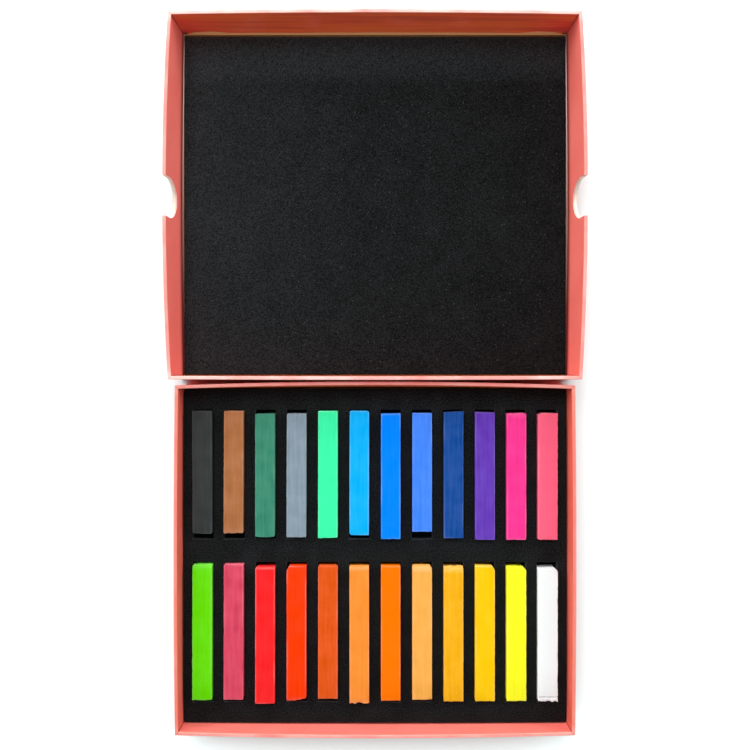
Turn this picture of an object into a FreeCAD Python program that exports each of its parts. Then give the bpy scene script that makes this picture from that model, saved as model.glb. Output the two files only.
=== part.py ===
import FreeCAD, Part
import os

import Sketcher

# A two-piece rigid box of pastel sticks, open: a paper-wrapped board tray with a die-cut foam
# insert, and behind it the loose lid of the same make, lying with its inside up.
# Millimetres. The origin is the middle of the tray's underside, +Z up, +Y towards the lid.

doc = FreeCAD.newDocument("pastel_box")

# Driving dimensions ---------------------------------------------------------------------------

SIZES = {
    # greyboard, wrapping paper and the tape that holds the corners
    "board": 1.2,
    "paper": 0.3,
    "tape": 0.15,
    "tape_reach": 12.0,
    # tray, measured over the paper at the table; each wall bows out by its bow at mid-rim
    "tray_width": 202.0,
    "tray_length": 176.5,
    "tray_height": 25.5,
    "tray_bow_side": 0.6,
    "tray_bow_front": 1.5,
    "tray_bow_back": 2.0,
    "tray_turn_in": 14.0,
    # lid, whose width and length follow from the tray's
    "fit_gap": 0.4,
    "lid_depth": 25.0,
    "lid_bow_side": 2.8,
    "lid_bow_near": 0.3,
    "lid_bow_far": 1.0,
    "lid_turn_in": 22.0,
    "lid_away": 0.7,
    "notch_width": 20.5,
    "notch_depth": 16.0,
    # foam
    "foam_play": 0.3,
    "base_thick": 6.5,
    "insert_thick": 7.0,
    "pad_thick": 2.0,
    "pad_play": 0.6,
    # slots of the insert, two rows across the tray
    "slot_count": 12,
    "slot_pitch": 16.15,
    "slot_width": 10.6,
    "slot_margin": 10.6,
    "slot_back": 66.9,
    "slot_front": 72.2,
    # sticks
    "stick_width": 10.1,
    "stick_thick": 10.0,
    "stick_round": 0.5,
}

# name, length, and how far the stick lies from the middle of its slot towards the lid
BACK_ROW = [
    ("charcoal", 63.1, 1.4),
    ("brown", 63.1, 1.4),
    ("dark_green", 63.6, -0.2),
    ("slate", 63.6, -0.2),
    ("mint", 65.4, 0.2),
    ("sky_blue", 63.9, 1.0),
    ("azure", 64.5, -0.7),
    ("periwinkle", 61.0, 1.3),
    ("navy", 65.2, 0.1),
    ("purple", 65.6, -0.5),
    ("magenta", 65.2, -0.7),
    ("coral", 65.2, -0.7),
]
FRONT_ROW = [
    ("lime", 69.8, 0.8),
    ("raspberry", 69.6, 0.9),
    ("red", 70.1, -0.9),
    ("vermilion", 69.8, -0.1),
    ("rust", 68.2, 0.7),
    ("light_orange", 70.5, -0.7),
    ("orange", 69.1, 0.2),
    ("peach", 68.7, 0.5),
    ("amber", 69.1, -0.2),
    ("golden_yellow", 69.4, 0.1),
    ("lemon", 68.7, -0.2),
    ("white", 68.4, -0.8),
]

sheet = doc.addObject("Spreadsheet::Sheet", "Sizes")


def add_cell(row, alias, value):
    sheet.set(f"A{row}", alias)
    sheet.set(f"B{row}", str(value))
    sheet.setAlias(f"B{row}", alias)


cells = dict(SIZES)
for name, length, shift in BACK_ROW + FRONT_ROW:
    cells[f"{name}_length"] = length
    cells[f"{name}_shift"] = shift
for row, (alias, value) in enumerate(cells.items(), start=1):
    add_cell(row, alias, value)
doc.recompute()

# Sizes that follow from the driving ones, as expressions on the sheet's cells ------------------

WALL = "(Sizes.board + 2 * Sizes.paper)"
FLOOR = "(Sizes.board + Sizes.paper)"
TRAY = {
    "width": "Sizes.tray_width",
    "length": "Sizes.tray_length",
    "height": "Sizes.tray_height",
    "side": "Sizes.tray_bow_side",
    "near": "Sizes.tray_bow_front",
    "far": "Sizes.tray_bow_back",
    "turn_in": "Sizes.tray_turn_in",
}
LID = {
    "width": f"(Sizes.tray_width + 2 * (Sizes.tray_bow_side + Sizes.fit_gap + {WALL}))",
    "length": "(Sizes.tray_length + Sizes.tray_bow_front + Sizes.tray_bow_back"
    f" + 2 * (Sizes.fit_gap + {WALL}))",
    "height": f"({FLOOR} + Sizes.pad_thick + Sizes.lid_depth)",
    "side": "Sizes.lid_bow_side",
    "near": "Sizes.lid_bow_near",
    "far": "Sizes.lid_bow_far",
    "turn_in": "Sizes.lid_turn_in",
}
LID_Y = (
    "Sizes.tray_length / 2 + Sizes.tray_bow_back + Sizes.lid_away + Sizes.lid_bow_near"
    f" + {LID['length']} / 2"
)
FOAM_LENGTH = f"(Sizes.tray_length - 2 * ({WALL} + Sizes.foam_play))"
FOAM_WIDTH = f"(Sizes.tray_width - 2 * ({WALL} + Sizes.foam_play))"
BACK_ROW_Y = f"({FOAM_LENGTH} / 2 - Sizes.slot_margin - Sizes.slot_back / 2)"
FRONT_ROW_Y = f"(-{FOAM_LENGTH} / 2 + Sizes.slot_margin + Sizes.slot_front / 2)"


def evaluate(expression):
    """What an expression on the cells comes to now."""
    return float(sheet.evalExpression(expression))


def bind(thing, bindings):
    """Ties properties to expressions, given as {property path: expression}."""
    for path, expression in bindings.items():
        thing.setExpression(path, expression)


# Sketches -------------------------------------------------------------------------------------


def new_body(label):
    body = doc.addObject("PartDesign::Body", label)
    body.Label = label
    return body


def sketch_on(body, role, name):
    """An empty sketch on one of the body's own origin planes."""
    plane = next(f for f in body.Origin.OriginFeatures if f.Role == role)
    sketch = body.newObject("Sketcher::SketchObject", name)
    sketch.AttachmentSupport = [(plane, "")]
    sketch.MapMode = "FlatFace"
    return sketch


def fix_point(sketch, geometry, point, x, y):
    """Places one end of an edge by two distances from the sketch's origin, bound to x and y."""
    for direction, expression in (("DistanceX", x), ("DistanceY", y)):
        distance = Sketcher.Constraint(direction, -1, 1, geometry, point, evaluate(expression))
        sketch.setExpression(f"Constraints[{sketch.addConstraint(distance)}]", expression)


def closed_lines(sketch, corners):
    """A closed outline of straight edges through corners, given as pairs of expressions."""
    guess = [FreeCAD.Vector(x, y, 0) for x, y in guesses(corners)]
    for index, start in enumerate(guess):
        sketch.addGeometry(Part.LineSegment(start, guess[(index + 1) % len(guess)]))
    for index, (x, y) in enumerate(corners):
        before = (index - 1) % len(corners)
        sketch.addConstraint(Sketcher.Constraint("Coincident", before, 2, index, 1))
        fix_point(sketch, index, 1, x, y)


def guesses(corners):
    """The corners' places worked out now, so that each sketch starts solved."""
    return [(evaluate(x), evaluate(y)) for x, y in corners]


def rectangle(body, name, width, length, level, centre_y="0"):
    """A rectangle across the box at a height, centred on centre_y."""
    sketch = sketch_on(body, "XY_Plane", name)
    sketch.setExpression("AttachmentOffset.Base.z", level)
    right, front, back = f"{width} / 2", f"{centre_y} - {length} / 2", f"{centre_y} + {length} / 2"
    left = f"-{width} / 2"
    closed_lines(sketch, [(left, front), (right, front), (right, back), (left, back)])
    return sketch


def bowed_outline(body, name, box, inset, level):
    """The box's outline at its rim, drawn in by inset: four shallow arcs between the corners."""
    sketch = sketch_on(body, "XY_Plane", name)
    sketch.setExpression("AttachmentOffset.Base.z", level)
    half_x, half_y = f"({box['width']} / 2 - {inset})", f"({box['length']} / 2 - {inset})"
    corners = [
        (f"-{half_x}", f"-{half_y}"),
        (half_x, f"-{half_y}"),
        (half_x, half_y),
        (f"-{half_x}", half_y),
    ]
    sides = [  # half the chord, the bow, and the way the wall faces
        (half_x, box["near"], (0, -1)),
        (half_y, box["side"], (1, 0)),
        (half_x, box["far"], (0, 1)),
        (half_y, box["side"], (-1, 0)),
    ]
    points = [FreeCAD.Vector(x, y, 0) for x, y in guesses(corners)]
    for index, (_, bow, facing) in enumerate(sides):
        start, end = points[index], points[(index + 1) % 4]
        crown = (start + end) / 2 + FreeCAD.Vector(*facing, 0) * evaluate(bow)
        sketch.addGeometry(Part.Arc(start, crown, end))
    for index, (x, y) in enumerate(corners):
        sketch.addConstraint(Sketcher.Constraint("Coincident", (index - 1) % 4, 2, index, 1))
        fix_point(sketch, index, 1, x, y)
    for index, (half, bow, _) in enumerate(sides):
        expression = f"({half} ^ 2 + {bow} ^ 2) / (2 * {bow})"
        radius = Sketcher.Constraint("Radius", index, evaluate(expression))
        sketch.setExpression(f"Constraints[{sketch.addConstraint(radius)}]", expression)
    return sketch


# Features -------------------------------------------------------------------------------------


def extrude(body, kind, name, sketch, length, bindings=None, **settings):
    feature = body.newObject(f"PartDesign::{kind}", name)
    feature.Profile = sketch
    for key, value in settings.items():
        setattr(feature, key, value)
    feature.setExpression("Length", length)
    bind(feature, bindings or {})
    doc.recompute()
    return feature


def wall_loft(body, kind, name, box, inset, low, high):
    """A block with straight sides at the low level that bow out to the rim's arcs at the high one."""
    foot = rectangle(
        body,
        f"{name}_foot",
        f"({box['width']} - 2 * {inset})",
        f"({box['length']} - 2 * {inset})",
        low,
    )
    rim = bowed_outline(body, f"{name}_rim", box, inset, high)
    loft = body.newObject(f"PartDesign::{kind}", name)
    loft.Profile = foot
    loft.Sections = [(rim, [""])]
    loft.Ruled = True
    doc.recompute()
    return loft


def thumb_notch(body, box, label):
    """A U cut down from the rim at mid-length, through both side walls at once."""
    half, top = "Sizes.notch_width / 2", f"{box['height']} + 1"
    centre = f"({box['height']} - Sizes.notch_depth + {half})"
    sketch = sketch_on(body, "YZ_Plane", f"{label}_notch_outline")
    radius, above, level = evaluate(half), evaluate(top), evaluate(centre)
    left, right = FreeCAD.Vector(-radius, level, 0), FreeCAD.Vector(radius, level, 0)
    lip_left, lip_right = FreeCAD.Vector(-radius, above, 0), FreeCAD.Vector(radius, above, 0)
    sketch.addGeometry(Part.Arc(left, FreeCAD.Vector(0, level - radius, 0), right))
    sketch.addGeometry(Part.LineSegment(right, lip_right))
    sketch.addGeometry(Part.LineSegment(lip_right, lip_left))
    sketch.addGeometry(Part.LineSegment(lip_left, left))
    for index in range(4):
        sketch.addConstraint(Sketcher.Constraint("Coincident", index, 2, (index + 1) % 4, 1))
    fix_point(sketch, 0, 3, "0", centre)
    for end in (1, 2):
        sketch.addConstraint(Sketcher.Constraint("Horizontal", 0, end, 0, 3))
    bend = sketch.addConstraint(Sketcher.Constraint("Radius", 0, radius))
    sketch.setExpression(f"Constraints[{bend}]", half)
    fix_point(sketch, 2, 1, half, top)
    fix_point(sketch, 3, 1, f"-{half}", top)
    extrude(body, "Pocket", f"{label}_notch", sketch, f"{box['width']} * 1.2", Midplane=True)


# Rigid box: board, tape and paper -------------------------------------------------------------


def folded_board(label, box):
    """The greyboard blank folded up: a floor and four walls, inside the paper all round."""
    body = new_body(label)
    low, high = "Sizes.paper", f"({box['height']} - Sizes.paper)"
    inner = "(Sizes.paper + Sizes.board)"
    wall_loft(body, "AdditiveLoft", f"{label}_block", box, "Sizes.paper", low, high)
    wall_loft(body, "SubtractiveLoft", f"{label}_hollow", box, inner, low, high)
    floor = rectangle(
        body,
        f"{label}_floor_outline",
        f"({box['width']} - 2 * Sizes.paper)",
        f"({box['length']} - 2 * Sizes.paper)",
        low,
    )
    extrude(body, "Pad", f"{label}_floor", floor, "Sizes.board")
    return body


def corner_band(label, box):
    """A band round the outside of the walls, kept only near the four corners."""
    body = new_body(f"{label}_band")
    low, high = "Sizes.paper", f"({box['height']} - Sizes.paper)"
    outer, inner = "(Sizes.paper - Sizes.tape)", "(Sizes.paper + Sizes.board / 2)"
    wall_loft(body, "AdditiveLoft", f"{label}_band_block", box, outer, low, high)
    wall_loft(body, "SubtractiveLoft", f"{label}_band_hollow", box, inner, low, high)
    long_way, kept = f"{box['width']} * 1.2", "2 * Sizes.tape_reach"
    spans = [
        (long_way, f"({box['length']} - {kept})"),
        (f"({box['width']} - {kept})", long_way),
    ]
    for number, (width, length) in enumerate(spans):
        window = rectangle(body, f"{label}_window_{number}", width, length, high)
        extrude(body, "Pocket", f"{label}_gap_{number}", window, box["height"])
    return body


def paper_block(label, box):
    """The wrap's outer form: a skin's place outside, over the rim and down inside to its turn-in."""
    body = new_body(f"{label}_block")
    wall_loft(body, "AdditiveLoft", f"{label}_outside", box, "0", "0", box["height"])
    wall_loft(body, "SubtractiveLoft", f"{label}_inside", box, WALL, "0", box["height"])
    underside = rectangle(body, f"{label}_underside", box["width"], box["length"], "0")
    extrude(body, "Pad", f"{label}_bottom", underside, FLOOR)
    inset = "2 * (Sizes.paper + Sizes.board / 2)"
    turned = rectangle(
        body,
        f"{label}_turn_in_end",
        f"({box['width']} - {inset})",
        f"({box['length']} - {inset})",
        f"({box['height']} - {box['turn_in']})",
    )
    bare = f"({box['height']} - {box['turn_in']} - {FLOOR})"
    extrude(body, "Pocket", f"{label}_bare_wall", turned, bare)
    return body


def cut(label, base, tool):
    feature = doc.addObject("Part::Cut", label)
    feature.Label = label
    feature.Base = base
    feature.Tool = tool
    doc.recompute()
    return feature


def rigid_box(prefix, box, centre_y, notched):
    """Board, corner stays and wrap of the tray or the lid, each taking its place from the last."""
    board = folded_board(f"{prefix}_board", box)
    band = corner_band(f"{prefix}_corner", box)
    block = paper_block(f"{prefix}_paper", box)
    if notched:
        thumb_notch(board, box, f"{prefix}_board")
        thumb_notch(block, box, f"{prefix}_paper")
    for body in (board, band, block):
        body.setExpression("Placement.Base.y", centre_y)
    stays = cut(f"{prefix}_corner_stays", band, board)
    wrap = cut(f"{prefix}_wrap", cut(f"{prefix}_paper_over_board", block, board), stays)
    return [board, stays, wrap]


# Foam -----------------------------------------------------------------------------------------


def foam_sheet(label, width, length, thick, level, centre_y="0"):
    body = new_body(label)
    outline = rectangle(body, f"{label}_outline", width, length, "0")
    extrude(body, "Pad", f"{label}_sheet", outline, thick)
    bind(body, {"Placement.Base.z": level, "Placement.Base.y": centre_y})
    return body


def slot_row(body, name, length, centre_y):
    """A row of slots die-cut right through the sheet, repeated across the tray."""
    sketch = sketch_on(body, "XY_Plane", f"{name}_outline")
    sketch.setExpression("AttachmentOffset.Base.z", "Sizes.insert_thick")
    middle = "-(Sizes.slot_count - 1) * Sizes.slot_pitch / 2"
    left, right = f"{middle} - Sizes.slot_width / 2", f"{middle} + Sizes.slot_width / 2"
    front, back = f"{centre_y} - {length} / 2", f"{centre_y} + {length} / 2"
    closed_lines(sketch, [(left, front), (right, front), (right, back), (left, back)])
    first = extrude(body, "Pocket", f"{name}_first", sketch, "Sizes.insert_thick")
    across = next(f for f in body.Origin.OriginFeatures if f.Role == "X_Axis")
    pattern = body.newObject("PartDesign::LinearPattern", name)
    pattern.Originals = [first]
    pattern.Direction = (across, [""])
    bind(
        pattern,
        {
            "Length": "(Sizes.slot_count - 1) * Sizes.slot_pitch",
            "Occurrences": "Sizes.slot_count",
        },
    )
    body.Tip = pattern
    doc.recompute()


def die_cut_insert():
    level = f"({FLOOR} + Sizes.base_thick)"
    body = foam_sheet("foam_insert", FOAM_WIDTH, FOAM_LENGTH, "Sizes.insert_thick", level)
    slot_row(body, "back_slots", "Sizes.slot_back", BACK_ROW_Y)
    slot_row(body, "front_slots", "Sizes.slot_front", FRONT_ROW_Y)
    return body


# Sticks ---------------------------------------------------------------------------------------


def stick(name, place, row_y):
    """A square pastel stick with its long edges eased, lying in its slot on the foam base."""
    body = new_body(f"stick_{name}")
    sketch = sketch_on(body, "XZ_Plane", f"{name}_section")
    half = "Sizes.stick_width / 2"
    closed_lines(
        sketch,
        [
            (f"-{half}", "0"),
            (half, "0"),
            (half, "Sizes.stick_thick"),
            (f"-{half}", "Sizes.stick_thick"),
        ],
    )
    bar = extrude(body, "Pad", f"{name}_bar", sketch, f"Sizes.{name}_length", Midplane=True)
    long_edges = [
        f"Edge{number}"
        for number, edge in enumerate(bar.Shape.Edges, start=1)
        if edge.BoundBox.YLength > 1
    ]
    eased = body.newObject("PartDesign::Fillet", f"{name}_eased")
    eased.Base = (bar, long_edges)
    eased.setExpression("Radius", "Sizes.stick_round")
    bind(
        body,
        {
            "Placement.Base.x": f"({place} - (Sizes.slot_count - 1) / 2) * Sizes.slot_pitch",
            "Placement.Base.y": f"{row_y} + Sizes.{name}_shift",
            "Placement.Base.z": f"{FLOOR} + Sizes.base_thick",
        },
    )
    doc.recompute()
    return body


# The whole box --------------------------------------------------------------------------------

pieces = rigid_box("tray", TRAY, "0", notched=False)
pieces.append(foam_sheet("foam_base", FOAM_WIDTH, FOAM_LENGTH, "Sizes.base_thick", FLOOR))
pieces.append(die_cut_insert())
pieces += rigid_box("lid", LID, LID_Y, notched=True)
pieces.append(
    foam_sheet(
        "lid_pad",
        f"({LID['width']} - 2 * ({WALL} + Sizes.pad_play))",
        f"({LID['length']} - 2 * ({WALL} + Sizes.pad_play))",
        "Sizes.pad_thick",
        FLOOR,
        LID_Y,
    )
)
for row, row_y in ((BACK_ROW, BACK_ROW_Y), (FRONT_ROW, FRONT_ROW_Y)):
    for place, (name, _, _) in enumerate(row):
        pieces.append(stick(name, place, row_y))
doc.recompute()

# Every object is whole before anything is written -----------------------------------------------

for thing in doc.Objects:
    if "Invalid" in thing.State or "Error" in thing.State:
        raise RuntimeError(f"{thing.Label} did not build: {thing.State}")
os.makedirs("parts", exist_ok=True)
for piece in pieces:
    if piece.Shape.isNull() or not piece.Shape.isValid():
        raise RuntimeError(f"{piece.Label} has no valid shape")
for piece in pieces:
    piece.Shape.exportStep(f"parts/{piece.Label}.step")
    print(f"{piece.Label}: {piece.Shape.Volume:.0f} mm3, {len(piece.Shape.Faces)} faces")
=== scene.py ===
import math

import bmesh
import bpy
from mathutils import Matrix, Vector, noise


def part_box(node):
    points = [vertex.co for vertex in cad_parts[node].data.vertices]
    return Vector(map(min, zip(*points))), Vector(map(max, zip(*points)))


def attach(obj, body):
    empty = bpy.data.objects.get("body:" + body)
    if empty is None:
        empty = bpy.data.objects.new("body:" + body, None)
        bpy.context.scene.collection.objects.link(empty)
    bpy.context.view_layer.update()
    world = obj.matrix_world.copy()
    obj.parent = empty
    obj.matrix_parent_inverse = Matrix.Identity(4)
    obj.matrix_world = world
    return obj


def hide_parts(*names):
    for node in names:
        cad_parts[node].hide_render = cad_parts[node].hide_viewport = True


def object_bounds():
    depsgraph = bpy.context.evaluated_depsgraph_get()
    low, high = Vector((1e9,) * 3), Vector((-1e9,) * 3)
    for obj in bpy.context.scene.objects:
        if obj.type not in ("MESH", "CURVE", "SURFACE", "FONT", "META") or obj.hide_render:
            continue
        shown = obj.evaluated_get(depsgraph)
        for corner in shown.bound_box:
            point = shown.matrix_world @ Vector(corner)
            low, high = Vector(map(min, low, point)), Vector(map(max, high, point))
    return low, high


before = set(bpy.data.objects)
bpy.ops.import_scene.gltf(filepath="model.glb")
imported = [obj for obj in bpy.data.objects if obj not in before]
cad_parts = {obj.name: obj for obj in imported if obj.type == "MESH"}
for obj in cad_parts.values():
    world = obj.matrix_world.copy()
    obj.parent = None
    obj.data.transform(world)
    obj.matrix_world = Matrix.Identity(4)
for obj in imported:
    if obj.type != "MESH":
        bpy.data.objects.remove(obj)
cad_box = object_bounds()

# ---- Place and light ----
# The open box lies on a plain white table and is looked at from straight above the middle of
# the two halves. Soft light comes mostly from beyond the lid, with weaker light from the sides
# and from the near end.

MM = 0.001
CAMERA_ABOVE_RIMS = 0.400
PICTURE_PIXELS = 750
FOCAL_PIXELS = 800
SENSOR_MM = 36.0
TABLE_SIZE = 6.0
TABLE_COLOUR = "#D8ECEC"
# what the table throws back onto the box is a little less than what is seen of it
TABLE_BOUNCE = "#C4C4C4"
# it glows a little under the lamps, and fully out where their light has faded
TABLE_GLOW = 0.50
LIT_RADIUS = 0.35
FADE_RADIUS = 0.95
# beside a wall it glows less: not at all where less than this share of the sky is open
GLOW_REACH = 26 * MM
GLOW_FROM_SKY = 0.5
# in the gap between the halves the table is painted with the coral of their walls, a painted
# reflection of their light in the shade there: from where this share of the sky is open, at its
# mouth, to where this little is, at its foot
GAP_PAINTED_BOUNCE = "#F0685C"
GAP_MOUTH_SKY = 0.35
GAP_FOOT_SKY = 0.12
WORLD_COLOUR = "#FFFFFF"
WORLD_FILL = 0.25

# name, middle in metres, width and height in metres, power in watts
LAMPS = (
    ("overhead", (-0.20, 0.90, 1.30), 1.00, 0.80, 13.0),
    ("far_low", (-0.60, 3.20, 0.84), 2.40, 0.60, 38.0),
    ("left_low", (-0.85, 0.55, 0.36), 0.90, 0.30, 7.1),
    ("right_low", (0.85, 0.55, 0.36), 0.90, 0.30, 7.3),
    ("near_low", (0.00, -1.40, 0.45), 1.00, 0.30, 8.0),
)


def linear(hex_colour):
    """A hex sRGB colour as the linear RGBA that the shaders take."""
    channels = [int(hex_colour[i : i + 2], 16) / 255 for i in (1, 3, 5)]
    curve = [c / 12.92 if c <= 0.04045 else ((c + 0.055) / 1.055) ** 2.4 for c in channels]
    return (*curve, 1.0)


def add_node(tree, kind, inputs=None, **settings):
    """Adds one shader node. Each input takes a value, a socket, or another node, which stands for
    the first of its outputs that is in use."""
    node = tree.nodes.new("ShaderNode" + kind)
    for name, value in settings.items():
        setattr(node, name, value)
    for name, value in (inputs or {}).items():
        if isinstance(value, bpy.types.Node):
            value = next(socket for socket in value.outputs if socket.enabled)
        if isinstance(value, bpy.types.NodeSocket):
            tree.links.new(value, node.inputs[name])
        else:
            node.inputs[name].default_value = value
    return node


def empty_material(name):
    """A new material and its node tree, with nothing in it."""
    material = bpy.data.materials.new(name)
    material.use_nodes = True
    material.node_tree.nodes.clear()
    return material, material.node_tree


low, high = cad_box
middle = (low + high) / 2
bpy.ops.object.select_all(action="DESELECT")
bpy.ops.object.camera_add(location=(middle.x, middle.y, high.z + CAMERA_ABOVE_RIMS), rotation=(0, 0, 0))
camera = bpy.context.object
camera.data.sensor_width = SENSOR_MM
camera.data.lens = FOCAL_PIXELS / PICTURE_PIXELS * SENSOR_MM
bpy.context.scene.camera = camera

for name, place, width, height, power in LAMPS:
    aim = Vector((middle.x, middle.y, 0)) - Vector(place)
    bpy.ops.object.light_add(type="AREA", location=place, rotation=aim.to_track_quat("-Z", "Y").to_euler())
    lamp = bpy.context.object
    lamp.name = name
    lamp.data.shape = "RECTANGLE"
    lamp.data.size = width
    lamp.data.size_y = height
    lamp.data.energy = power

# The table: white laminate. It clips to plain white and still takes the box's soft shadow.
bpy.ops.mesh.primitive_plane_add(size=TABLE_SIZE, location=(middle.x, middle.y, 0))
table = bpy.context.object
table.name = "table_top"
material, tree = empty_material("white_laminate")
to_camera = add_node(tree, "LightPath").outputs["Is Camera Ray"]
where = add_node(tree, "TexCoord").outputs["Object"]
far_off = add_node(tree, "VectorMath", {0: where}, operation="LENGTH")
even = add_node(
    tree, "MapRange",
    {"Value": far_off, "From Min": LIT_RADIUS, "From Max": FADE_RADIUS, "To Min": TABLE_GLOW},
)
sky_seen = add_node(tree, "AmbientOcclusion", {"Distance": GLOW_REACH}).outputs["AO"]
open_sky = add_node(tree, "MapRange", {"Value": sky_seen, "From Min": GLOW_FROM_SKY})
glowing = add_node(tree, "Math", {0: even, 1: open_sky}, operation="MULTIPLY")
seen_glow = add_node(tree, "Math", {0: to_camera, 1: glowing}, operation="MULTIPLY")
# painted reflection of the coral walls, in the shade of the gap
in_gap = add_node(
    tree, "MapRange", {"Value": sky_seen, "From Min": GAP_MOUTH_SKY, "From Max": GAP_FOOT_SKY}
)
seen_colour = add_node(
    tree, "Mix", {"Factor": in_gap, "A": linear(TABLE_COLOUR), "B": linear(GAP_PAINTED_BOUNCE)}, data_type="RGBA"
)
colour = add_node(
    tree, "Mix", {"Factor": to_camera, "A": linear(TABLE_BOUNCE), "B": seen_colour}, data_type="RGBA"
)
matt = add_node(tree, "BsdfDiffuse", {"Color": colour})
glow = add_node(tree, "Emission", {"Strength": seen_glow})
both = add_node(tree, "AddShader", {0: matt, 1: glow})
add_node(tree, "OutputMaterial", {"Surface": both})
table.data.materials.append(material)

# The studio round it: white where it is seen or mirrored, and a dim even fill on the box.
world = bpy.data.worlds.new("studio")
bpy.context.scene.world = world
world.use_nodes = True
tree = world.node_tree
tree.nodes.clear()
rays = add_node(tree, "LightPath").outputs
shown = add_node(tree, "Math", {0: rays["Is Camera Ray"], 1: rays["Is Glossy Ray"]}, operation="MAXIMUM")
strength = add_node(tree, "MapRange", {"Value": shown, "To Min": WORLD_FILL})
sky = add_node(tree, "Background", {"Color": linear(WORLD_COLOUR), "Strength": strength})
add_node(tree, "OutputWorld", {"Surface": sky})
bpy.context.scene.view_settings.view_transform = "Standard"

# ---- Board and corner tape ----
# The walls and floors of both halves are pulp board, cut, creased and folded up, and held at the
# corners by gummed paper tape. The wrap hides both, except at the notches and the lid's foot.

BOARD_COLOUR = "#FFFAF2"
BOARD_FLECK = "#EBDAC4"
BOARD_FOOT_TAN = "#DBA36C"
BOARD_FIBRE = 0.6 * MM
BOARD_ROUGHNESS = 0.9
BOARD_TAN_HEIGHT = 9.0 * MM
BOARD_TAN_FADE = 1.0 * MM
TAPE_COLOUR = "#C9A878"
TAPE_FLECK = "#8F7557"
TAPE_FIBRE = 0.4 * MM
TAPE_ROUGHNESS = 0.8
FIBRES_IN_CLOUD = 12.5
FIBRE_HEIGHT = 0.05 * MM


def pulp(name, colour, fleck, fibre, roughness, toned=None):
    """Uncoated recycled fibre: short flecks in two tones and a dry, slightly hairy surface. Towards
    the floor it may turn to a second, tan tone."""
    material, tree = empty_material(name)
    where = add_node(tree, "TexCoord").outputs["Object"]
    cloud = FIBRES_IN_CLOUD * fibre
    grain = add_node(tree, "TexNoise", {"Vector": where, "Scale": 1 / fibre, "Detail": 4.0})
    clouds = add_node(tree, "TexNoise", {"Vector": where, "Scale": 1 / cloud})
    amount = add_node(tree, "Math", {0: grain, 1: clouds}, operation="MULTIPLY")
    share = add_node(tree, "MapRange", {"Value": amount, "From Min": 0.18, "From Max": 0.42})
    tone = add_node(
        tree, "Mix", {"Factor": share, "A": linear(fleck), "B": linear(colour)}, data_type="RGBA"
    )
    # below a height the board turns to the second tone
    if toned:
        height = add_node(tree, "SeparateXYZ", {0: where}).outputs["Z"]
        tint_share = add_node(
            tree, "MapRange",
            {"Value": height, "From Min": BOARD_TAN_HEIGHT, "From Max": BOARD_TAN_HEIGHT - BOARD_TAN_FADE},
        )
        tone = add_node(tree, "Mix", {"Factor": tint_share, "A": tone, "B": linear(toned)}, data_type="RGBA")
    relief = add_node(tree, "Bump", {"Strength": 0.5, "Distance": FIBRE_HEIGHT, "Height": grain})
    surface = add_node(
        tree, "BsdfPrincipled",
        {"Base Color": tone, "Roughness": roughness, "Specular IOR Level": 0.2, "Normal": relief},
    )
    add_node(tree, "OutputMaterial", {"Surface": surface})
    return material


def finish_node(node, material):
    """Gives a construction piece that stays in view its material."""
    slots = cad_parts[node].data.materials
    slots.clear()
    slots.append(material)


# White-lined chipboard: cream at a fresh cut, and tan towards the foot.
chipboard = pulp(
    "white_lined_chipboard", BOARD_COLOUR, BOARD_FLECK, BOARD_FIBRE, BOARD_ROUGHNESS, BOARD_FOOT_TAN
)
# Gummed kraft stay tape: the same fibre made smooth on a paper machine, so finer and even.
stay_tape = pulp("gummed_kraft_tape", TAPE_COLOUR, TAPE_FLECK, TAPE_FIBRE, TAPE_ROUGHNESS)
for half in ("tray", "lid"):
    finish_node(half + "_board", chipboard)
    finish_node(half + "_corner_stays", stay_tape)

# ---- Wrapping paper ----
# One sheet of printed coral paper with a satin film covers each half. It is glued under the
# floor, up the outside, over the rim and a little way down the inside, and mitred at the corners.

WALL = 1.8 * MM
PAPER = 0.3 * MM
FOLD_RADIUS = 0.38 * MM
FOLD_ANGLE = math.radians(50)
SMOOTH_ANGLE = math.radians(40)
STRIP = 9.0 * MM
CREASE_ABOVE_END = 1.5 * MM
# how points and faces are told apart: from this share of the way out a point is on the wall, and
# this near a level or a face it belongs to it; the inside ends and the outer skin starts this far
# beyond the inner face; and a face that looks in has the middle this far ahead
ON_WALL = 0.999
AT_LEVEL = 0.01 * MM
NEAR_LEVEL = 0.5 * MM
NEAR_FACE = 0.3 * MM
INSIDE_TO = 0.9 * WALL
OUTSIDE_FROM = 0.7 * WALL
LOOKS_IN = 10 * MM

PAPER_COLOUR = "#F37B70"
PAPER_DEEP = "#EF7368"
PAPER_SHADE = "#5E1512"
PRINT_MOTTLE = 18 * MM
FIBRE = 0.35 * MM
FILM_RELIEF = 0.03 * MM
# painted shade inside, deeper and more orange, with the walls' reflected coral in it: its colours,
# the streaks along the far wall, and the corners of the far wall
PAPER_PAINTED_SHADE = "#D35532"
PAPER_PAINTED_CORNER_SHADE = "#CF3C36"
FAR_STREAK_ORANGE = "#E0702F"
FAR_STREAK_DARK = "#A84A35"
FAR_STREAK_LENGTH = 60 * MM
FAR_STREAK_WIDTH = 2.4 * MM
FAR_STREAK_SHARE = 0.6
CORNER_REACH = 28 * MM
CORNER_FULL = 4 * MM
# the rim is painted pale, partly rubbed wear and partly a painted highlight: from where it starts
# below the top to where it is full; on the long walls it is fainter
PAPER_PALE_AND_HIGHLIGHT = "#FFD9D0"
RIM_PALE_START = 0.42 * MM
RIM_PALE_FULL = 0.12 * MM
SIDE_RIM_PALE = 0.5
END_WALL_START = 4 * MM
END_WALL_FULL = 1 * MM
# the dark line of the mitre, fainter on the rim
MITRE_HALF = 0.45 * MM
MITRE_CORE = 0.15 * MM
MITRE_REACH = 0.5 * MM
MITRE_SHADE = 0.8
MITRE_SHADE_ON_RIM = 0.3
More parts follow.
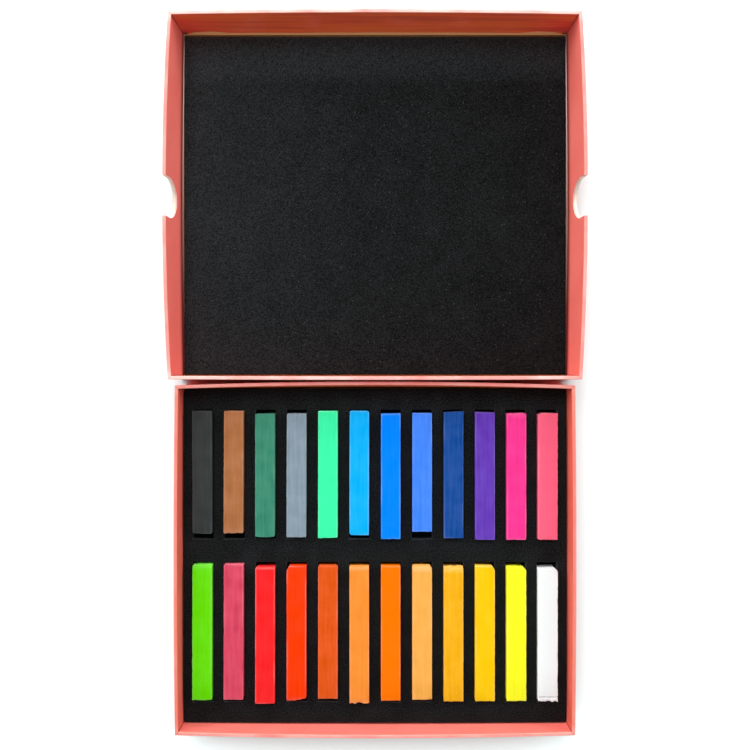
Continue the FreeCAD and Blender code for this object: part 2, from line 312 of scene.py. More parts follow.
# the paper's corners are folded in behind the end walls' paper, where their edges show as steps
# that slant a little
FLAP = 11.0 * MM
FLAP_SLANT = 0.07
FLAP_THICKNESS = 0.15 * MM
FLAP_STEP = 0.25 * MM
FLAP_LINE = 1.4 * FLAP_STEP
FLAP_SHADE = 0.4
FLAP_ZONE = 0.6
# inside the long walls of the lid: painted shade above the crease, and the paper's pale cut end,
# partly a painted highlight on its curl
CREASE_SHADE_TOP = 6.0 * MM
CREASE_SHADE_FOOT = 0.5 * MM
CREASE_WALL = 3 * MM
LIP_START = 0.2 * MM
LIP_FULL = 0.5 * MM
LIP_PALE = 0.8
LIP_PALE_ALONG = (-0.6, 0.8)

CORE_COLOUR = "#FFE9E2"
CORE_FLECK = "#F3C9BE"
CORE_FIBRE = 0.3 * MM
CORE_ROUGHNESS = 0.85

# how far the middle of each wall leans out at the rim, and where the turned-in paper ends
TRAY_BOWS = {"side": 0.6 * MM, "near": 1.5 * MM, "far": 2.0 * MM}
TRAY_TURN_IN_END = 11.5 * MM
# the tray's rim is painted pale, and its inner walls, apart from the near one, take half the painted shade
TRAY_RIM_PALE = 0.4
TRAY_PAINTED_SHADE = 0.5


def new_block(name, low, high):
    """A block between two corners, left in edit mode."""
    bpy.ops.object.select_all(action="DESELECT")
    bpy.ops.mesh.primitive_cube_add(size=1, location=(low + high) / 2)
    piece = bpy.context.object
    piece.name = name
    piece.data.name = name
    piece.scale = high - low
    bpy.ops.object.transform_apply()
    bpy.ops.object.mode_set(mode="EDIT")
    bpy.context.tool_settings.mesh_select_mode = (False, False, True)
    return piece


def slice_at(axis, places):
    """Cuts the mesh being edited all through, square to one axis, at each place."""
    normal = Vector([float(axis == i) for i in range(3)])
    for place in places:
        bpy.ops.mesh.select_all(action="SELECT")
        bpy.ops.mesh.bisect(plane_co=normal * place, plane_no=normal)


def evenly(start, end, spacing):
    """Places between two ends, about spacing apart, without the ends."""
    count = max(1, round((end - start) / spacing))
    return [start + (end - start) * i / count for i in range(1, count)]


def pick_faces(piece, wanted):
    """Selects just the faces whose centre and normal are wanted."""
    bpy.ops.mesh.select_all(action="DESELECT")
    mesh = bmesh.from_edit_mesh(piece.data)
    for face in mesh.faces:
        face.select_set(wanted(face.calc_center_median(), face.normal))
    bmesh.update_edit_mesh(piece.data)


def apply_modifier(piece, kind, **settings):
    """Adds a modifier to a piece in object mode and applies it."""
    bpy.context.view_layer.objects.active = piece
    modifier = piece.modifiers.new(kind.lower(), kind)
    for name, value in settings.items():
        setattr(modifier, name, value)
    bpy.ops.object.modifier_apply(modifier=modifier.name)


def round_edges(piece, width):
    """Rounds every edge that turns by more than the fold angle."""
    apply_modifier(piece, "BEVEL", width=width, segments=3, limit_method="ANGLE", angle_limit=FOLD_ANGLE)


def shade_smooth(piece, angle):
    """Shades a piece smooth, apart from edges that turn by more than an angle."""
    bpy.ops.object.select_all(action="DESELECT")
    piece.select_set(True)
    bpy.context.view_layer.objects.active = piece
    bpy.ops.object.shade_smooth_by_angle(angle=angle)


def lean_out(point, foot_low, foot_high, height, bows):
    """Where a point of the straight box goes when its walls bow out towards the rim."""
    centre = (foot_low + foot_high) / 2
    half = (foot_high - foot_low) / 2
    across = (point.x - centre.x) / half.x
    along = (point.y - centre.y) / half.y
    rise = (point.z - foot_low.z) / height
    moved = point.copy()
    if abs(across) > ON_WALL:
        moved.x += math.copysign(bows["side"], across) * rise * (1 - along**2)
    if along > ON_WALL:
        moved.y += bows["far"] * rise * (1 - across**2)
    if along < -ON_WALL:
        moved.y -= bows["near"] * rise * (1 - across**2)
    return moved


def on_outside(side, half):
    """Whether a point, from the middle of its half, is on the outer skin."""
    return abs(side.x) > half.x + OUTSIDE_FROM or abs(side.y) > half.y + OUTSIDE_FROM


def straight_end(side, half, at_crease):
    """The turned-in edge inside the tray: it ends behind the foam, cut straight."""
    return Vector()


def folded_wrap(name, node, bows, turn_in_end, end_shape, paper):
    """The sheet of paper round one half: bowed walls, a folded rim and a turned-in inside."""
    low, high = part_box(node)
    height = high.z - low.z
    crease = turn_in_end + CREASE_ABOVE_END
    foot_low = Vector((low.x + bows["side"], low.y + bows["near"], low.z))
    foot_high = Vector((high.x - bows["side"], high.y - bows["far"], high.z))
    centre = (foot_low + foot_high) / 2
    piece = new_block(name, foot_low, foot_high)
    pick_faces(piece, lambda at, normal: normal.z > 0.9)
    bpy.ops.mesh.delete(type="ONLY_FACE")
    slice_at(0, evenly(foot_low.x, foot_high.x, STRIP))
    slice_at(1, evenly(foot_low.y, foot_high.y, STRIP))
    slice_at(2, [turn_in_end, crease])
    bpy.ops.object.mode_set(mode="OBJECT")
    for vertex in piece.data.vertices:
        vertex.co = lean_out(vertex.co, foot_low, foot_high, height, bows)
    apply_modifier(
        piece, "SOLIDIFY", thickness=WALL, offset=-1, use_even_offset=True, use_quality_normals=True
    )
    # on leaning walls the thickness is put on askew, so the inner skin goes back to its levels
    for vertex in piece.data.vertices:
        for level in (high.z, turn_in_end, crease):
            if abs(vertex.co.z - level) < NEAR_LEVEL:
                vertex.co.z = level

    def bare_inside(at, normal):
        """Inner faces below the turned-in end, where the real sheet stops."""
        looks_in = normal.xy.dot(centre.xy - at.xy) > LOOKS_IN
        return at.z < turn_in_end and (normal.z > 0.5 or looks_in)

    bpy.ops.object.mode_set(mode="EDIT")
    pick_faces(piece, bare_inside)
    bpy.ops.mesh.delete(type="FACE")
    bpy.ops.object.mode_set(mode="OBJECT")
    half = (foot_high - foot_low) / 2 - Vector((WALL, WALL, 0))
    for vertex in piece.data.vertices:
        side = vertex.co - centre
        within = abs(side.x) < half.x + NEAR_FACE + bows["side"] and abs(side.y) < half.y + NEAR_FACE
        at_end, at_crease = (abs(vertex.co.z - z) < AT_LEVEL for z in (turn_in_end, crease))
        if (at_end or at_crease) and within and not on_outside(side, half):
            vertex.co += end_shape(side, half, at_crease)
    round_edges(piece, FOLD_RADIUS)
    piece.data.materials.append(paper)
    piece.data.materials.append(paper_core)
    apply_modifier(
        piece, "SOLIDIFY", thickness=PAPER, offset=-1, use_even_offset=True, material_offset_rim=1
    )
    return piece


def finish_wrap(piece, node, body):
    """Smooths the folds, keeps the flat faces flat, and hands the piece to the frame."""
    shade_smooth(piece, SMOOTH_ANGLE)
    apply_modifier(piece, "WEIGHTED_NORMAL", keep_sharp=True)
    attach(piece, body)
    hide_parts(node)


def sheet_places(tree, node, bows):
    """Where a point is on the sheet round one half. Distances past a wall count from its inner
    face, and are below zero inside the box."""
    low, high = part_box(node)
    half_width = (high.x - low.x) / 2 - bows["side"] - WALL
    half_length = (high.y - low.y - bows["near"] - bows["far"]) / 2 - WALL
    middle_y = (low.y + bows["near"] + high.y - bows["far"]) / 2
    coordinates = add_node(tree, "TexCoord").outputs
    place = add_node(tree, "SeparateXYZ", {0: coordinates["Object"]}).outputs
    across = add_node(tree, "Math", {0: place["X"]}, operation="ABSOLUTE")
    along = add_node(tree, "Math", {0: place["Y"], 1: middle_y}, operation="SUBTRACT")
    off_middle = add_node(tree, "Math", {0: along}, operation="ABSOLUTE")
    past_side = add_node(tree, "Math", {0: across, 1: half_width}, operation="SUBTRACT")
    past_end = add_node(tree, "Math", {0: off_middle, 1: half_length}, operation="SUBTRACT")
    furthest = add_node(tree, "Math", {0: past_side, 1: past_end}, operation="MAXIMUM")
    return {
        "where": coordinates["Object"],
        "facing_far": add_node(tree, "SeparateXYZ", {0: coordinates["Normal"]}).outputs["Y"],
        "height": place["Z"],
        "rim": high.z,
        "half_length": half_length,
        "along": along,
        "past_side": past_side,
        "past_end": past_end,
        "inside": add_node(tree, "Math", {0: furthest, 1: INSIDE_TO}, operation="LESS_THAN"),
    }


def painted_wall_shade(tree, at, mottle, colour, shade_tint):
    """Painted shade inside: the paper is deeper and more orange, for the shade and the walls'
    reflected coral: most at the far wall, in streaks along it, and redder beside its corners."""
    # painted shade and reflected coral light on the inner walls, most on the far wall
    facing_near = add_node(tree, "Math", {0: at["facing_far"], 1: -0.5}, operation="LESS_THAN")
    in_far_half = add_node(tree, "Math", {0: at["along"], 1: 0.0}, operation="GREATER_THAN")
    far_wall = add_node(tree, "Math", {0: facing_near, 1: in_far_half}, operation="MULTIPLY")
    not_near_wall = add_node(tree, "Math", {0: at["facing_far"], 1: 0.5}, operation="LESS_THAN")
    tinted = add_node(tree, "Math", {0: not_near_wall, 1: shade_tint}, operation="MULTIPLY")
    other_walls = add_node(tree, "Math", {0: at["inside"], 1: tinted}, operation="MULTIPLY")
    toned = add_node(tree, "Math", {0: far_wall, 1: other_walls}, operation="MAXIMUM")
    uneven = add_node(tree, "MapRange", {"Value": mottle, "From Min": -0.2, "From Max": 0.5})
    tint_share = add_node(tree, "Math", {0: toned, 1: uneven}, operation="MULTIPLY")
    by_corner = add_node(
        tree, "MapRange", {"Value": at["past_side"], "From Min": -CORNER_REACH, "From Max": -CORNER_FULL}
    )
    redder = add_node(tree, "Math", {0: by_corner, 1: far_wall}, operation="MULTIPLY")
    # the tone of the painted shade, redder by the far wall's corners
    through = add_node(
        tree, "Mix", {"Factor": redder, "A": linear(PAPER_PAINTED_SHADE), "B": linear(PAPER_PAINTED_CORNER_SHADE)},
        data_type="RGBA",
    )
    colour = add_node(tree, "Mix", {"Factor": tint_share, "A": colour, "B": through}, data_type="RGBA")
    stroke_shape = (1 / FAR_STREAK_LENGTH, 1 / FAR_STREAK_LENGTH, 1 / FAR_STREAK_WIDTH)
    brushed = add_node(tree, "Mapping", {"Vector": at["where"], "Scale": stroke_shape})
    strokes = add_node(tree, "TexNoise", {"Vector": brushed, "Scale": 1.0})
    for streak_tone, start, full in ((FAR_STREAK_ORANGE, 0.42, 0.7), (FAR_STREAK_DARK, 0.48, 0.3)):
        streaked = add_node(
            tree, "MapRange",
            {"Value": strokes, "From Min": start, "From Max": full, "To Max": FAR_STREAK_SHARE},
        )
        share = add_node(tree, "Math", {0: far_wall, 1: streaked}, operation="MULTIPLY")
        colour = add_node(
            tree, "Mix", {"Factor": share, "A": colour, "B": linear(streak_tone)}, data_type="RGBA"
        )
    return colour


def rim_marks(tree, at, mottle, colour, rim_pale):
    """The fold along the rim is painted pale, a little unevenly, partly rubbed wear and partly a
    painted highlight, and at each inner corner a dark line shows where two turned-in ends meet."""
    # pale rim: rubbed wear and a painted highlight where the fold faces up
    start, full = at["rim"] - RIM_PALE_START, at["rim"] - RIM_PALE_FULL
    on_rim = add_node(tree, "MapRange", {"Value": at["height"], "From Min": start, "From Max": full})
    uneven = add_node(
        tree, "MapRange", {"Value": mottle, "From Min": 0.2, "From Max": 0.6, "To Max": rim_pale}
    )
    start, full = -END_WALL_START, -END_WALL_FULL
    on_end_wall = add_node(
        tree, "MapRange",
        {"Value": at["past_end"], "From Min": start, "From Max": full, "To Min": SIDE_RIM_PALE},
    )
    pale_rim_share = add_node(tree, "Math", {0: uneven, 1: on_end_wall}, operation="MULTIPLY")
    rubbed = add_node(tree, "Math", {0: on_rim, 1: pale_rim_share}, operation="MULTIPLY")
    colour = add_node(
        tree, "Mix", {"Factor": rubbed, "A": colour, "B": linear(PAPER_PALE_AND_HIGHLIGHT)}, data_type="RGBA"
    )
    skew = add_node(tree, "Math", {0: at["past_side"], 1: at["past_end"]}, operation="SUBTRACT")
    apart = add_node(tree, "Math", {0: skew}, operation="ABSOLUTE")
    nearest = add_node(tree, "Math", {0: at["past_side"], 1: at["past_end"]}, operation="MINIMUM")
    in_corner = add_node(tree, "Math", {0: nearest, 1: -MITRE_REACH}, operation="GREATER_THAN")
    inner_corner = add_node(tree, "Math", {0: in_corner, 1: at["inside"]}, operation="MULTIPLY")
    line = add_node(tree, "MapRange", {"Value": apart, "From Min": MITRE_HALF, "From Max": MITRE_CORE})
    shade = add_node(
        tree, "MapRange", {"Value": on_rim, "To Min": MITRE_SHADE, "To Max": MITRE_SHADE_ON_RIM}
    )
    shaded_line = add_node(tree, "Math", {0: line, 1: shade}, operation="MULTIPLY")
    mitre = add_node(tree, "Math", {0: inner_corner, 1: shaded_line}, operation="MULTIPLY")
    return add_node(
        tree, "Mix", {"Factor": mitre, "A": colour, "B": linear(PAPER_SHADE)}, data_type="RGBA"
    )


def flap_steps(tree, at, colour):
    """Outside on the end walls, the paper steps up over each folded-in corner flap, with a faint
    painted shadow line along the step. Gives the new colour and how high the paper stands."""
    outwards = add_node(tree, "Math", {0: at["along"], 1: at["facing_far"]}, operation="MULTIPLY")
    outer_end = add_node(
        tree, "Math", {0: outwards, 1: FLAP_ZONE * at["half_length"]}, operation="GREATER_THAN"
    )
    from_edge = add_node(tree, "Math", {0: at["past_side"], 1: FLAP - WALL}, operation="ADD")
    past_flap = add_node(
        tree, "Math", {0: at["height"], 1: FLAP_SLANT, 2: from_edge}, operation="MULTIPLY_ADD"
    )
    step = add_node(tree, "MapRange", {"Value": past_flap, "From Min": -FLAP_STEP, "From Max": FLAP_STEP})
    raised = add_node(tree, "Math", {0: step, 1: outer_end}, operation="MULTIPLY")
    # painted shadow line along the step
    off_step = add_node(tree, "Math", {0: past_flap}, operation="ABSOLUTE")
    by_step = add_node(
        tree, "MapRange",
        {"Value": off_step, "From Min": FLAP_LINE, "From Max": 0.0, "To Max": FLAP_SHADE},
    )
    line = add_node(tree, "Math", {0: by_step, 1: outer_end}, operation="MULTIPLY")
    colour = add_node(
        tree, "Mix", {"Factor": line, "A": colour, "B": linear(PAPER_SHADE)}, data_type="RGBA"
    )
    return colour, raised


def creased_foot(tree, at, colour, crease):
    """Inside the long walls the paper darkens with painted shade down to its crease, and its cut end
    lies pale on the pad, partly a painted highlight on its curl, more so towards the far wall."""
    by_wall = add_node(tree, "Math", {0: at["past_side"], 1: -CREASE_WALL}, operation="GREATER_THAN")
    long_wall = add_node(tree, "Math", {0: at["inside"], 1: by_wall}, operation="MULTIPLY")
    # painted shade above the crease, darkest at its foot
    start, full = crease + CREASE_SHADE_TOP, crease + CREASE_SHADE_FOOT
    crease_shade = add_node(tree, "MapRange", {"Value": at["height"], "From Min": start, "From Max": full})
    deepening = add_node(tree, "Math", {0: crease_shade, 1: 2.0}, operation="POWER")
    darkened = add_node(tree, "Math", {0: deepening, 1: long_wall}, operation="MULTIPLY")
    colour = add_node(
        tree, "Mix", {"Factor": darkened, "A": colour, "B": linear(PAPER_SHADE)}, data_type="RGBA"
    )
    # pale cut end, partly a painted highlight on the upturned curl
    start, full = crease - LIP_START, crease - LIP_FULL
    lip = add_node(tree, "MapRange", {"Value": at["height"], "From Min": start, "From Max": full})
    start, full = (share * at["half_length"] for share in LIP_PALE_ALONG)
    paler = add_node(
        tree, "MapRange", {"Value": at["along"], "From Min": start, "From Max": full, "To Max": LIP_PALE}
    )
    pale_lip = add_node(tree, "Math", {0: lip, 1: paler}, operation="MULTIPLY")
    share = add_node(tree, "Math", {0: pale_lip, 1: long_wall}, operation="MULTIPLY")
    return add_node(
        tree, "Mix", {"Factor": share, "A": colour, "B": linear(PAPER_PALE_AND_HIGHLIGHT)}, data_type="RGBA"
    )


def satin_paper(name, node, bows, rim_pale, shade_tint, crease=None):
    """Printed and film-laminated coral paper. The film gives soft broad highlights over faint
    fibres, and the print is a little cloudy."""
    material, tree = empty_material(name)
    at = sheet_places(tree, node, bows)
    mottle = add_node(tree, "TexNoise", {"Vector": at["where"], "Scale": 1 / PRINT_MOTTLE, "Detail": 3.0})
    fibres = add_node(tree, "TexNoise", {"Vector": at["where"], "Scale": 1 / FIBRE})
    cloudy = add_node(tree, "MapRange", {"Value": mottle, "From Min": 0.35, "From Max": 0.7})
    colour = add_node(
        tree, "Mix", {"Factor": cloudy, "A": linear(PAPER_COLOUR), "B": linear(PAPER_DEEP)},
        data_type="RGBA",
    )
    colour = painted_wall_shade(tree, at, mottle, colour, shade_tint)
    colour = rim_marks(tree, at, mottle, colour, rim_pale)
    colour, raised = flap_steps(tree, at, colour)
    if crease:
        colour = creased_foot(tree, at, colour, crease)
    stepped = add_node(tree, "Bump", {"Strength": 0.5, "Distance": FLAP_THICKNESS, "Height": raised})
    relief = add_node(
        tree, "Bump", {"Strength": 0.12, "Distance": FILM_RELIEF, "Height": fibres, "Normal": stepped}
    )
    sheen = add_node(tree, "MapRange", {"Value": fibres, "From Min": -3.0, "From Max": 3.4})
    surface = add_node(
        tree, "BsdfPrincipled",
        {"Base Color": colour, "Roughness": sheen, "Specular IOR Level": 0.4, "Normal": relief},
    )
    add_node(tree, "OutputMaterial", {"Surface": surface})
    return material


# The paper is white right through: its cut edges show as fine pale lines, tinted by the ink.
paper_core = pulp("white_paper_core", CORE_COLOUR, CORE_FLECK, CORE_FIBRE, CORE_ROUGHNESS)
tray_paper = satin_paper("satin_coral_paper_tray", "tray_wrap", TRAY_BOWS, TRAY_RIM_PALE, TRAY_PAINTED_SHADE)
tray_wrap = folded_wrap(
    "tray_paper_wrap", "tray_wrap", TRAY_BOWS, TRAY_TURN_IN_END, straight_end, tray_paper
)
finish_wrap(tray_wrap, "tray_wrap", "tray")

# ---- Foam of the tray ----
# Two sheets of black closed-cell foam lie loose in the tray: a plain one below, and on it one
# with twenty-four slots stamped through by a steel-rule die, which rounds the edges a little.

FOAM_EDGE = 0.45 * MM
FOAM_CORNER = 1.4 * MM
FOAM_SWELL = 0.12 * MM
FOAM_WAVE = 14 * MM
FOAM_STRIP = 7.0 * MM
FOAM_DARK = "#080909"
FOAM_PALE = "#252728"
FOAM_BRIGHT = "#4C5052"
# the cells are about twice as coarse as real ones, which would be too fine to show
FOAM_CELL = 0.65 * MM
FOAM_CLOUD = 12 * MM
FOAM_RELIEF = 0.12 * MM
SPECK_SPACING = 3.1 * MM
INSERT_CONTRAST = 0.14
INSERT_SPECKS = 0.15
SLOT_WIDTH = 10.6 * MM
SLOT_MARGIN = 10.6 * MM
SLOT_BACK = 66.9 * MM
SLOT_FRONT = 72.2 * MM
# dust gathers on the stamped edges, between these depths, and more of it where a stick has rubbed
RIM_TOP = 0.15 * MM
RIM_FOOT = 1 * MM
DUSTY_STICKS = ("slate", "sky_blue", "periwinkle")
DUSTY_REACH = 3.5 * MM
# noise vectors are offset by a seed, which is the time of day unless it is set
NOISE_SEED = 7
noise.seed_set(NOISE_SEED)


def closed_cell_foam(name, contrast, specks, deeper=0.0, add_painted_light=None):
    """Black cross-linked foam. Its skin is split off by a saw, so the cut cells are a fine, even
    grain, fully matt, with here and there a cell wall that catches the light."""
    material, tree = empty_material(name)
    where = add_node(tree, "TexCoord").outputs["Object"]
    grain = add_node(tree, "TexNoise", {"Vector": where, "Scale": 1 / FOAM_CELL})
    clouds = add_node(tree, "TexNoise", {"Vector": where, "Scale": 1 / FOAM_CLOUD, "Detail": 3.0})
    faint_clouds = add_node(tree, "MapRange", {"Value": clouds, "To Min": 0.4, "To Max": 0.6})
    both = add_node(tree, "Math", {0: grain, 1: faint_clouds}, operation="ADD")
    level = 1 + deeper
    share = add_node(
        tree, "MapRange", {"Value": both, "From Min": level - contrast, "From Max": level + contrast}
    )
    tone = add_node(
        tree, "Mix", {"Factor": share, "A": linear(FOAM_DARK), "B": linear(FOAM_PALE)}, data_type="RGBA"
    )
    # painted light, where one is given
    if add_painted_light:
        tone = add_painted_light(tree, where, grain, tone)
    cells = add_node(tree, "TexVoronoi", {"Vector": where, "Scale": 1 / SPECK_SPACING})
    at_speck = add_node(
        tree, "MapRange",
        {"Value": cells.outputs["Distance"], "From Min": 0.14, "From Max": 0.05, "To Max": specks},
    )
    rim = add_node(tree, "Attribute", attribute_name="rim").outputs["Fac"]
    dusty = add_node(tree, "Math", {0: rim, 1: grain}, operation="MULTIPLY")
    bright = add_node(tree, "Math", {0: at_speck, 1: dusty}, operation="MAXIMUM")
    colour = add_node(
        tree, "Mix", {"Factor": bright, "A": tone, "B": linear(FOAM_BRIGHT)}, data_type="RGBA"
    )
    relief = add_node(tree, "Bump", {"Strength": 0.5, "Distance": FOAM_RELIEF, "Height": grain})
    surface = add_node(
        tree, "BsdfPrincipled",
        {"Base Color": colour, "Roughness": 0.95, "Specular IOR Level": 0.05, "Normal": relief},
    )
    add_node(tree, "OutputMaterial", {"Surface": surface})
    return material


def round_corners(piece, low, high):
    """Rounds a sheet's four upright corners, as the die cuts them."""
    bpy.ops.object.mode_set(mode="EDIT")
    bpy.context.tool_settings.mesh_select_mode = (False, True, False)
    bpy.ops.mesh.select_all(action="DESELECT")
    mesh = bmesh.from_edit_mesh(piece.data)
    for edge in mesh.edges:
        a, b = (vertex.co for vertex in edge.verts)
        in_corner = all(min(p - l, h - p) < NEAR_FACE for p, l, h in zip(a.xy, low.xy, high.xy))
        edge.select_set(in_corner and abs(a.z - b.z) > (high.z - low.z) / 2)
    bmesh.update_edit_mesh(piece.data)
    bpy.ops.mesh.bevel(offset=FOAM_CORNER, segments=3, affect="EDGES")
    bpy.ops.object.mode_set(mode="OBJECT")


def foam_sheet(name, node, body, foam, slots=(), dusty_ends=()):
    """A sheet of foam with soft edges and a slight swell, stamped through at each slot. Chalk from
    the sticks that stand nearest a slot's end has rubbed off on its edge."""
    low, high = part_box(node)
    piece = new_block(name, low, high)
    pick_faces(piece, lambda at, normal: normal.z < 0.9)
    bpy.ops.mesh.delete(type="ONLY_FACE")
    # slots in one row share their ends, up to a rounding of the last digits
    slice_at(0, sorted({round(point.x, 7) for slot in slots for point in slot}))
    slice_at(1, sorted({round(point.y, 7) for slot in slots for point in slot}))
    if not slots:
        slice_at(0, evenly(low.x, high.x, FOAM_STRIP))
    slice_at(1, evenly(low.y, high.y, FOAM_STRIP))
    pick_faces(piece, lambda at, normal: any(a.x < at.x < b.x and a.y < at.y < b.y for a, b in slots))
    bpy.ops.mesh.delete(type="FACE")
    bpy.ops.object.mode_set(mode="OBJECT")
    for vertex in piece.data.vertices:
        swell = noise.noise_vector(vertex.co / FOAM_WAVE) * FOAM_SWELL
        vertex.co += Vector((swell.x, swell.y, -abs(swell.z)))
        vertex.co.x = min(max(vertex.co.x, low.x), high.x)
        vertex.co.y = min(max(vertex.co.y, low.y), high.y)
    apply_modifier(piece, "SOLIDIFY", thickness=high.z - low.z, offset=-1)
    # the underside lies flat
    for vertex in piece.data.vertices:
        if vertex.co.z < (low.z + high.z) / 2:
            vertex.co.z = low.z
    if slots:
        round_corners(piece, low, high)
    round_edges(piece, FOAM_EDGE)
    shade_smooth(piece, SMOOTH_ANGLE)
    rim = piece.data.attributes.new("rim", "FLOAT", "POINT")
    for vertex in piece.data.vertices:
        stamped = bool(slots) and RIM_TOP < high.z - vertex.co.z < RIM_FOOT
        rubbed = any((vertex.co - place).length < DUSTY_REACH for place in dusty_ends)
        rim.data[vertex.index].value = float(stamped) * (1.0 + rubbed)
    piece.data.materials.append(foam)
    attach(piece, body)
    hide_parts(node)


insert_low, insert_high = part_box("foam_insert")
slots = []
for node in sorted(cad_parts):
    if node.startswith("stick_"):
        low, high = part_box(node)
        x, y = ((low + high) / 2).xy
        near, far = insert_low.y + SLOT_MARGIN, insert_low.y + SLOT_MARGIN + SLOT_FRONT
        if y > 0:
            near, far = insert_high.y - SLOT_MARGIN - SLOT_BACK, insert_high.y - SLOT_MARGIN
        slots.append((Vector((x - SLOT_WIDTH / 2, near)), Vector((x + SLOT_WIDTH / 2, far))))
dusty_ends = [Vector((*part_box("stick_" + name)[0].xy, insert_high.z)) for name in DUSTY_STICKS]

slotted_foam = closed_cell_foam("fine_black_closed_cell_foam", INSERT_CONTRAST, INSERT_SPECKS)
foam_sheet("foam_base_sheet", "foam_base", "tray", slotted_foam)
foam_sheet("foam_slotted_sheet", "foam_insert", "tray", slotted_foam, slots, dusty_ends)

# ---- Pastel sticks ----
# Twenty-four square sticks of pigment and chalk with a little gum, pressed in a mould and dried.
# They are soft and brittle: the corners crumble, the ends break unevenly, and dust clings.

STICK_EDGE = 0.5 * MM
STICK_STRIP = 5.5 * MM
STICK_INNER = 3.0 * MM
STICK_SMOOTH = math.radians(45)
NEAR, FAR = -1, 1
LEFT, RIGHT = -1, 1


def corner(side, end, across, along):
    """A corner knocked off, seen from above: across in X and along in Y, in millimetres."""
    return ("corner", side, end, across * MM, along * MM)


def facet(end, along, drop):
    """The top worn down to the end over a length, by a drop, in millimetres."""
    return ("facet", 0, end, along * MM, drop * MM)


def slant(side, end, along):
    """An end broken at a slant: shorter by along, in millimetres, at one side."""
    return ("slant", side, end, 0.0, along * MM)


def rough(end, depth):
    """A crumbled end, eaten in by up to depth, in millimetres."""
    return ("rough", 0, end, 0.0, depth * MM)


def crack(end, along, depth):
    """A crack across the top, along from the end, in millimetres."""
    return ("crack", 0, end, along * MM, depth * MM)


# name: colour, how streaky it is, sideways lean from end to end in millimetres, and damage
STICKS = {
    "charcoal": ("#373B3B", 0.4, -0.25, [corner(RIGHT, NEAR, 0.7, 0.5)]),
    "brown": ("#AF6F42", 1.0, 0.35, [slant(RIGHT, NEAR, 0.3), rough(NEAR, 0.4)]),
    "dark_green": ("#37896E", 0.9, 0.1, [
        corner(LEFT, NEAR, 2.2, 0.4), corner(RIGHT, NEAR, 2.4, 0.5), slant(LEFT, FAR, 0.4)
    ]),
    "slate": ("#8899A7", 0.9, 0.3, [corner(LEFT, FAR, 0.5, 0.6), corner(LEFT, NEAR, 0.4, 0.4)]),
    "mint": ("#3BF1A6", 0.3, 0.1, [slant(RIGHT, NEAR, 0.4)]),
    "sky_blue": ("#00B0F9", 0.5, 0.2, [
        corner(LEFT, FAR, 1.0, 0.6), corner(RIGHT, FAR, 1.0, 0.9), corner(LEFT, NEAR, 0.9, 0.9)
    ]),
    "azure": ("#0082F9", 0.15, 0.0, []),
    "periwinkle": ("#4186FB", 0.7, 0.0, [slant(LEFT, NEAR, 0.2)]),
    "navy": ("#0A4A9A", 0.8, 0.05, [slant(LEFT, FAR, 0.6)]),
    "purple": ("#6338B4", 0.7, -0.1, [corner(RIGHT, FAR, 0.9, 0.5), slant(RIGHT, FAR, 0.2)]),
    "magenta": ("#F83591", 0.6, 0.0, [corner(LEFT, FAR, 3.0, 0.4), rough(FAR, 0.5)]),
    "coral": ("#FF6686", 0.2, 0.1, [corner(LEFT, FAR, 2.3, 1.2), slant(RIGHT, FAR, 0.3)]),
    "lime": ("#69E700", 0.4, 0.15, [corner(LEFT, FAR, 4.0, 0.4), rough(FAR, 0.5)]),
    "raspberry": ("#DE4763", 1.0, 0.15, [slant(LEFT, FAR, 0.2)]),
    "red": ("#F92225", 0.5, 0.15, [corner(LEFT, FAR, 0.8, 0.8), facet(FAR, 0.9, 0.4)]),
    "vermilion": ("#F93B00", 0.3, 0.05, [
        corner(LEFT, FAR, 1.5, 2.4), slant(RIGHT, NEAR, 1.9), rough(NEAR, 0.7)
    ]),
    "rust": ("#E2560D", 0.6, 0.1, [corner(RIGHT, FAR, 0.8, 0.9), corner(LEFT, FAR, 0.6, 0.6)]),
    "light_orange": ("#F99234", 0.5, -0.1, [facet(FAR, 1.6, 0.5), rough(NEAR, 1.2)]),
    "orange": ("#F97600", 0.15, 0.0, []),
    "peach": ("#F9B04F", 0.6, 0.0, [facet(FAR, 2.6, 0.7), corner(RIGHT, FAR, 1.1, 1.5)]),
    "amber": ("#F9B40C", 0.7, 0.0, [facet(FAR, 2.3, 0.6), rough(FAR, 0.5)]),
    "golden_yellow": ("#F9C800", 0.4, 0.05, [corner(RIGHT, FAR, 1.4, 2.0), slant(RIGHT, FAR, 0.3)]),
    "lemon": ("#F9F924", 0.3, 0.0, [corner(RIGHT, FAR, 1.6, 1.6)]),
    "white": ("#F8FFFF", 0.05, 0.0, [
        corner(RIGHT, FAR, 1.4, 1.2), crack(NEAR, 2.4, 1.9), rough(NEAR, 0.8)
    ]),
}
# how far the noise of one stick is from that of the next
SEED_STEPS = (0.37, 0.11, 0.23)
# the increment, lacunarity and octaves of fractal noise on broken faces
FRACTAL = (1.0, 2.0, 3)
# how the chalk breaks and rubs: the size of each unevenness, how deep it goes, and how far it
# reaches from an edge or an end
CHIP_GRAIN = 0.9 * MM
CHIP_DEPTH = 0.10 * MM
ROUGH_REACH = 2.6 * MM
ROUGH_GRAIN = 1.7 * MM
ROUGH_MEAN = 0.45
ROUGH_DROP = 0.5
CRACK_HALF = 0.38 * MM
CRACK_CUTS = 0.5 * MM
CRACK_WANDER = 0.25 * MM
CRACK_WAVE = 3 * MM
CRUMBLE_REACH = 0.8 * MM
CRUMBLE_GRAIN = 1.6 * MM
CRUMBLE_DEPTH = 0.35 * MM
WARP_WAVE = 9 * MM
WARP_DEPTH = 0.07 * MM
PRESS_GRAIN = 1.1 * MM
PRESS_DEPTH = 0.018 * MM
RUB_PATCH = 10 * MM
RUB_MEAN = 0.55
RUB_SPREAD = 1.2
RUB_LEAST = 0.2
